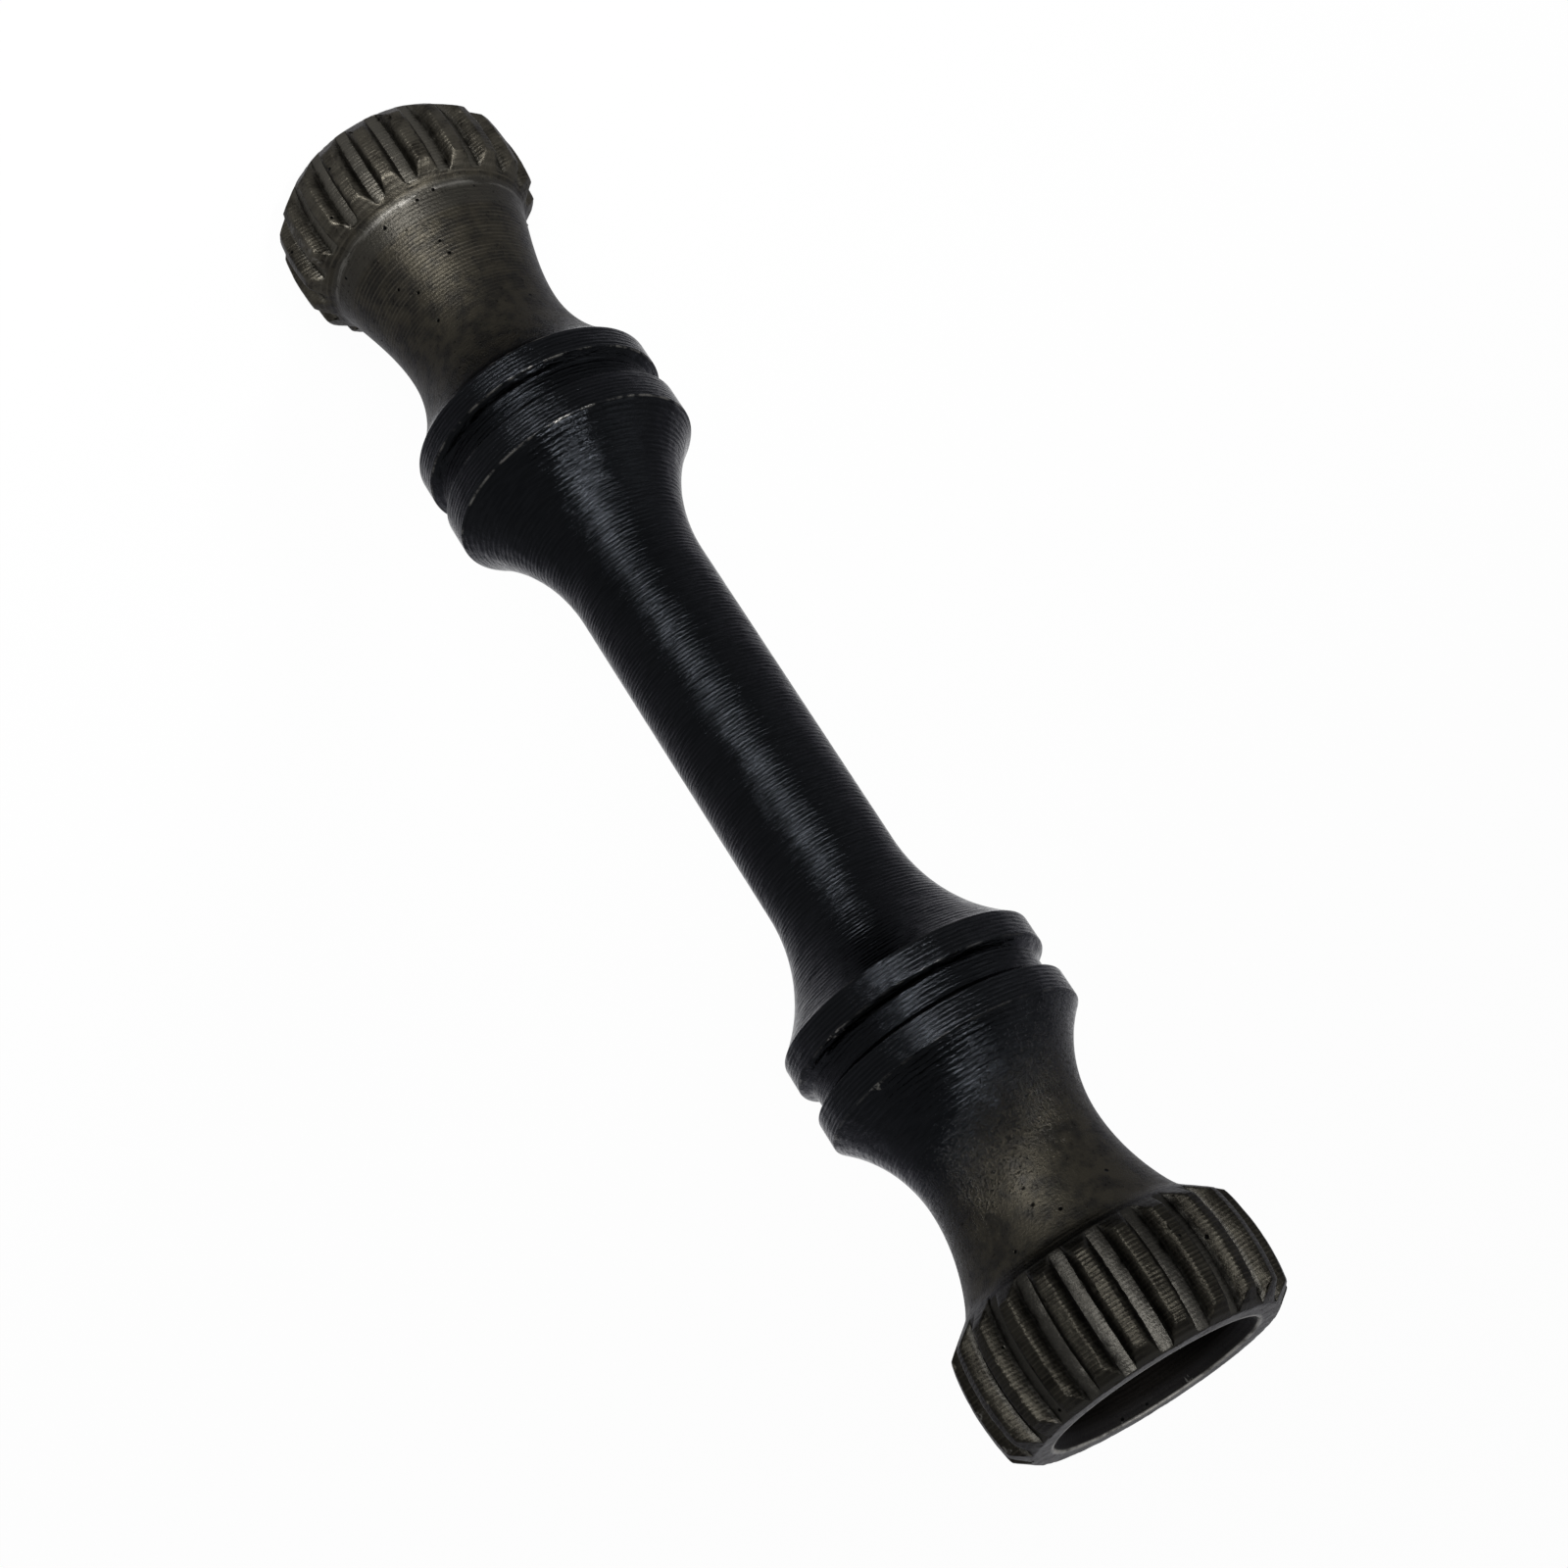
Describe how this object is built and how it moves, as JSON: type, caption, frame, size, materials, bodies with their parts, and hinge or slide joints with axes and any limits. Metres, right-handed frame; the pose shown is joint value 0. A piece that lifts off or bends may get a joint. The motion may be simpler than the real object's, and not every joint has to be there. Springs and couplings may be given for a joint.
{
  "type": "splined shaft",
  "caption": "Solid steel drive link with a crowned splined head at each end, waisted necks, a grooved collar beside each neck and a thin stem between the collars.",
  "frame": {"origin": "centre of the small head's end face, which the shaft stands on", "axes": "+Z along the shaft's axis from the small head up to the large head; one tooth space of each head is centred on +X"},
  "size_m": [0.0296, 0.0298, 0.1483],
  "materials": {
    "blackened_steel": "hardened and blackened steel: glossy black in the middle, matte brown-grey and worn at the heads"
  },
  "bodies": {
    "root": {"splined_shaft": "blackened_steel"}
  },
  "joints": []
}
